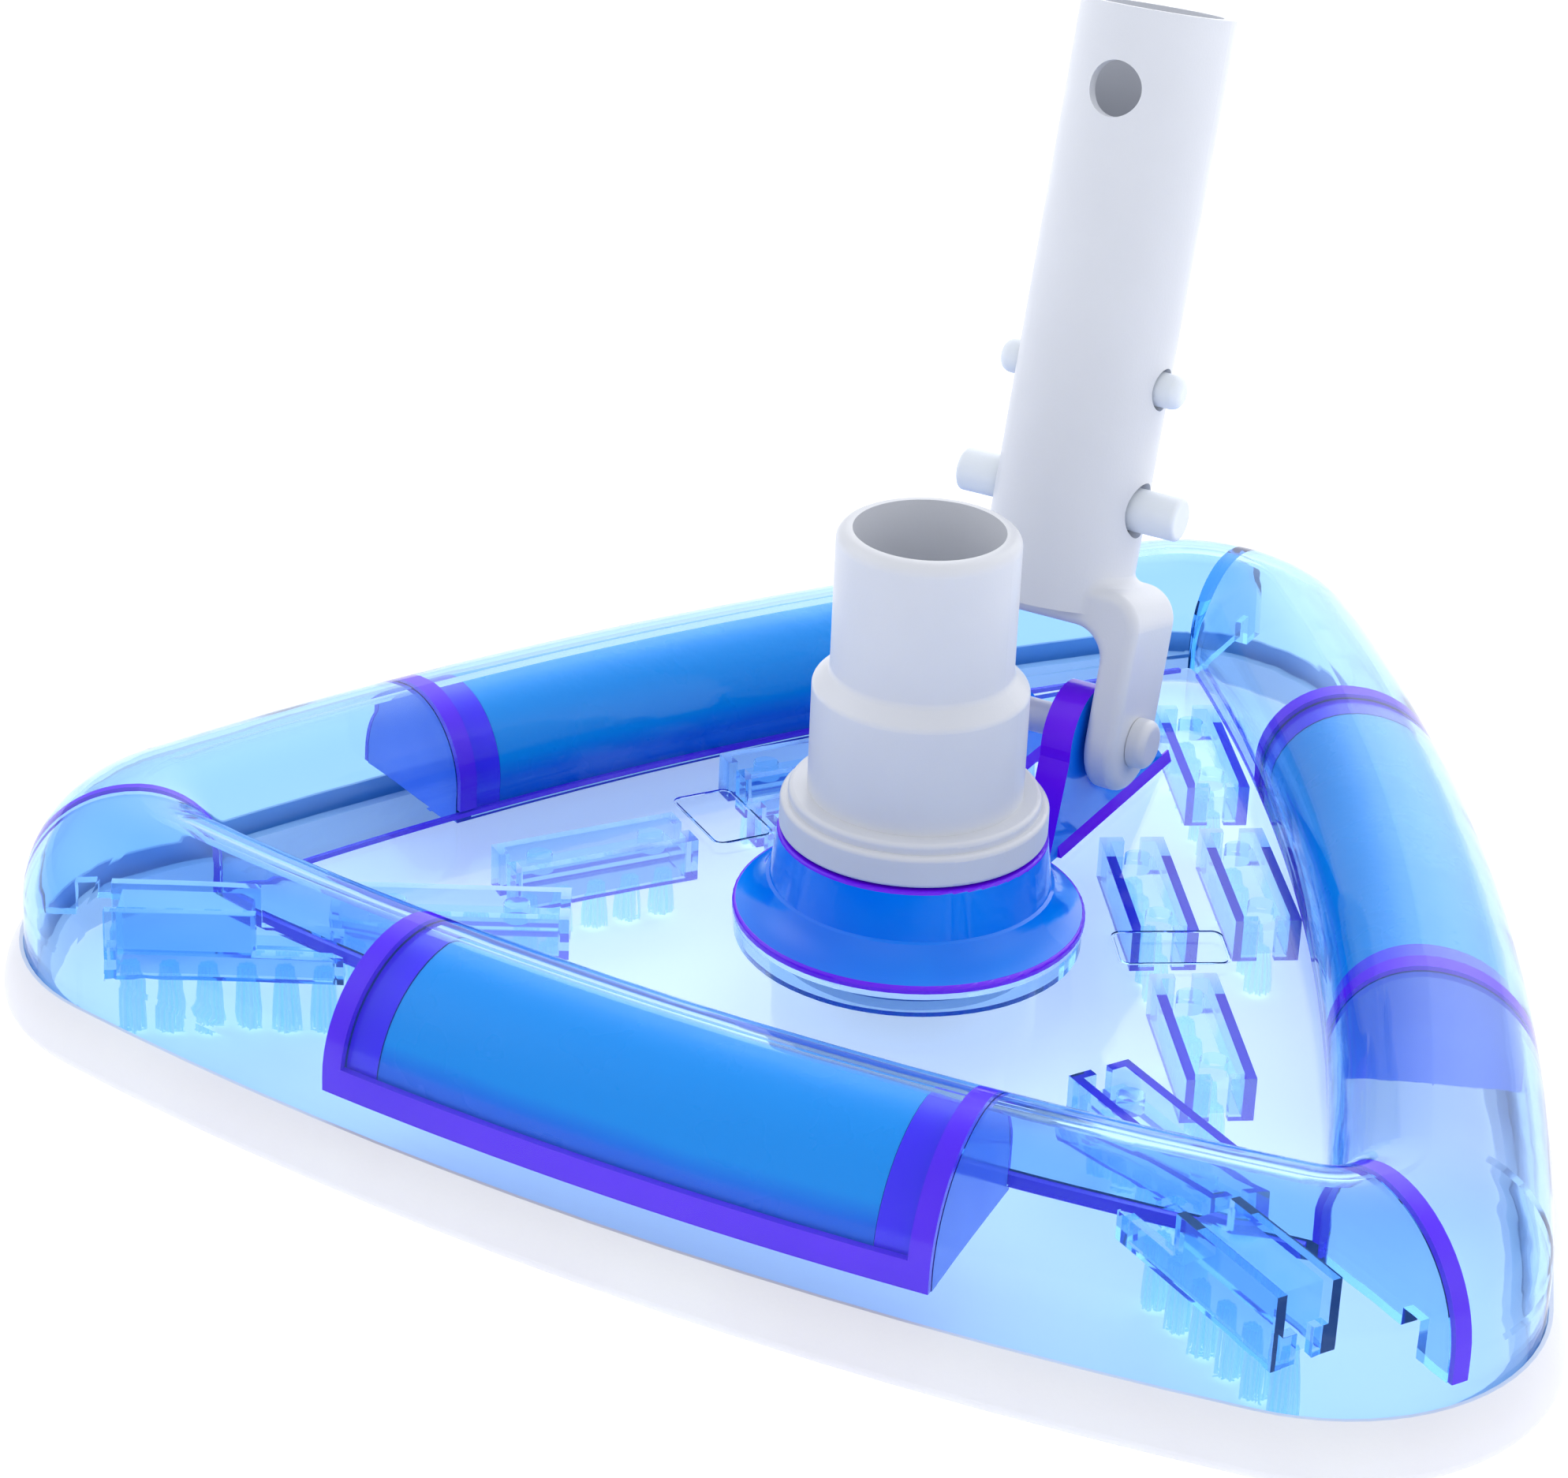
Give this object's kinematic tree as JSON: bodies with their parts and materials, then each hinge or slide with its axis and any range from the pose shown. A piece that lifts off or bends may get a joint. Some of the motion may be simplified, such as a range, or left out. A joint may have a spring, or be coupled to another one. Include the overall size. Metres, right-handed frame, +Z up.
{
  "type": "pool vacuum head",
  "caption": "See-through weighted triangular pool vacuum head with a bumper strip, brushes, a swivel hose connector and a tilting pole handle with a spring clip.",
  "frame": {"origin": "centre of the bumper's footprint, on the floor", "axes": "+X along the front side, +Y towards the rear corner that the handle leans to, +Z up"},
  "size_m": [0.2886, 0.2702, 0.1686],
  "materials": {
    "clear_blue": "clear tinted, polished",
    "clear_block": "clear tinted, polished",
    "coated_iron": "dipped in glossy blue plastic",
    "white_vinyl": "soft satin",
    "white_plastic": "moulded, satin",
    "clip_plastic": "moulded, satin",
    "nylon_bristle": "fine clear filaments"
  },
  "bodies": {
    "head": {"housing": "clear_blue", "bumper": "white_vinyl", "weight_cover_front": "clear_blue", "weight_cover_right": "clear_blue", "weight_cover_left": "clear_blue", "weight_front": "coated_iron", "weight_right": "coated_iron", "weight_left": "coated_iron", "brush_block_rear_right": "clear_block", "brush_block_rear_left": "clear_block", "brush_block_middle_right": "clear_block", "brush_block_middle_left": "clear_block", "brush_block_outer_right": "clear_block", "brush_block_outer_left": "clear_block", "brush_block_front_right": "clear_block", "brush_block_front_left": "clear_block", "brush_block_corner_right": "clear_block", "brush_block_corner_left": "clear_block", "brush_block_edge_right": "clear_block", "brush_block_edge_left": "clear_block", "bristles_rear_right": "nylon_bristle", "bristles_rear_left": "nylon_bristle", "bristles_middle_right": "nylon_bristle", "bristles_middle_left": "nylon_bristle", "bristles_outer_right": "nylon_bristle", "bristles_outer_left": "nylon_bristle", "bristles_front_right": "nylon_bristle", "bristles_front_left": "nylon_bristle", "bristles_corner_right": "nylon_bristle", "bristles_corner_left": "nylon_bristle", "bristles_edge_right": "nylon_bristle", "bristles_edge_left": "nylon_bristle"},
    "swivel": {"swivel_connector": "white_plastic", "swivel_retainer": "white_plastic"},
    "handle": {"handle": "white_plastic", "pivot_pin": "white_plastic", "clip_bend": "clip_plastic"},
    "clip_right": {"clip_arm_right": "clip_plastic"},
    "clip_left": {"clip_arm_left": "clip_plastic"}
  },
  "joints": [
    {"name": "swivel_turn", "type": "hinge", "parent": "head", "child": "swivel", "pos_m": [0, -0.02517, 0.04], "axis": [0, 0, 1], "continuous": true},
    {"name": "handle_tilt", "type": "hinge", "parent": "head", "child": "handle", "pos_m": [0, 0.02123, 0.0392], "axis": [1, 0, 0], "range_deg": [-60, 28]},
    {"name": "clip_right_press", "type": "hinge", "parent": "handle", "child": "clip_right", "pos_m": [0.0097, 0.04518, 0.13051], "axis": [0, 0.9673, -0.2538], "range_deg": [0, 7.5], "stiffness_Nm_per_rad": 1.5},
    {"name": "clip_left_press", "type": "hinge", "parent": "handle", "child": "clip_left", "pos_m": [-0.0097, 0.04518, 0.13051], "axis": [0, -0.9673, 0.2538], "range_deg": [0, 7.5], "stiffness_Nm_per_rad": 1.5}
  ]
}
